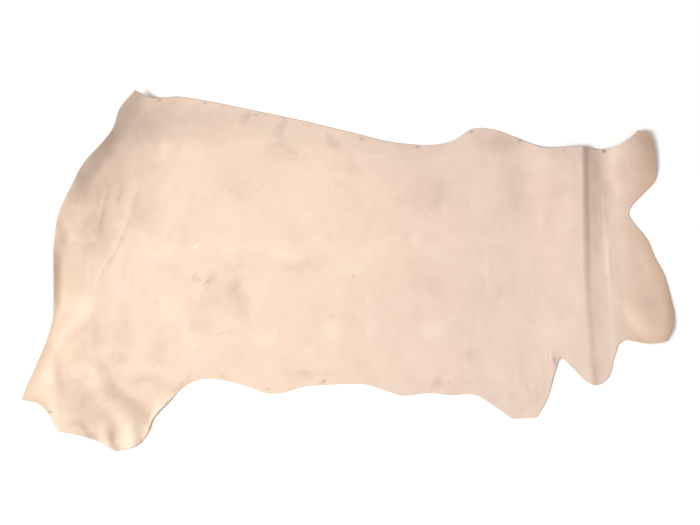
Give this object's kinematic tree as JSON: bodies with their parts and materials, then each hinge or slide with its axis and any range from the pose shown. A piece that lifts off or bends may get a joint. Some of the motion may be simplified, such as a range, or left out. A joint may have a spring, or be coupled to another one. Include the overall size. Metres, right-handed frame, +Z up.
{
  "type": "leather hide",
  "caption": "Side of natural leather lying flat, with shank and neck lobes, a crease across the neck and a curled rump edge.",
  "frame": {"origin": "on the surface the hide lies on, under the middle of its outline's bounding box", "axes": "+X towards the neck, +Y towards the back (the straight cut along the backbone), +Z up, out of the grain side"},
  "size_m": [2.3165, 1.278, 0.049],
  "materials": {
    "leather": "natural undyed grain, matt"
  },
  "bodies": {
    "root": {"hide": "leather"}
  },
  "joints": []
}
